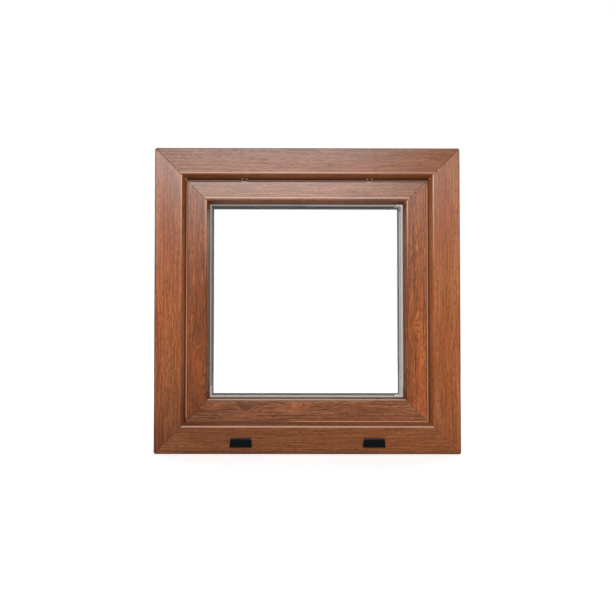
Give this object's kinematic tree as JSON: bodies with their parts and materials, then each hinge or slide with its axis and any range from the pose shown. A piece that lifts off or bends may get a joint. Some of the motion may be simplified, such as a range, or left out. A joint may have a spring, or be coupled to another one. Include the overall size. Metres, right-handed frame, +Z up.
{
  "type": "tilt and turn window",
  "caption": "Small inward-opening tilt and turn window in wood-effect foiled plastic, closed, with a clear double-glazed pane and hooded drain caps.",
  "frame": {"origin": "middle of the outer frame's underside, halfway through the frame's depth", "axes": "+X right as seen from outside, +Y from outside into the building, +Z up towards the head"},
  "size_m": [0.6, 0.143, 0.6],
  "materials": {
    "oak_foil": "embossed golden oak foil over plastic profile, satin",
    "gasket": "light grey seal, matt",
    "brown_gasket": "brown seal, matt",
    "cap_plastic": "black moulded plastic",
    "glass": "clear float glass",
    "edge_sealant": "black edge sealant",
    "spacer_metal": "mill aluminium",
    "packer_plastic": "plain moulded plastic",
    "dark_metal": "dark powder coat",
    "plated_steel": "zinc-plated steel"
  },
  "bodies": {
    "root": {"frame_sill": "oak_foil", "frame_head": "oak_foil", "frame_left_jamb": "oak_foil", "frame_right_jamb": "oak_foil", "frame_stop_gasket": "brown_gasket", "drain_cap_left": "cap_plastic", "drain_cap_right": "cap_plastic", "sash_bottom_rail": "oak_foil", "sash_top_rail": "oak_foil", "sash_left_stile": "oak_foil", "sash_right_stile": "oak_foil", "sash_lap_gasket": "brown_gasket", "lock_rail_bottom": "plated_steel", "lock_rail_top": "plated_steel", "lock_rail_left": "plated_steel", "lock_rail_right": "plated_steel", "lock_keeps": "plated_steel", "glass_outer_pane": "glass", "glass_inner_pane": "glass", "glass_edge_sealant": "edge_sealant", "glass_spacer_bar": "spacer_metal", "glass_packers": "packer_plastic", "glazing_gasket_outside": "gasket", "glazing_gasket_inside": "gasket", "glazing_bead_bottom": "oak_foil", "glazing_bead_top": "oak_foil", "glazing_bead_left": "oak_foil", "glazing_bead_right": "oak_foil", "handle_rose": "dark_metal", "handle_lever": "dark_metal", "hinge_lower_bearing": "dark_metal", "hinge_lower_band": "dark_metal", "hinge_upper_bearing": "dark_metal", "hinge_upper_band": "dark_metal"}
  },
  "joints": []
}
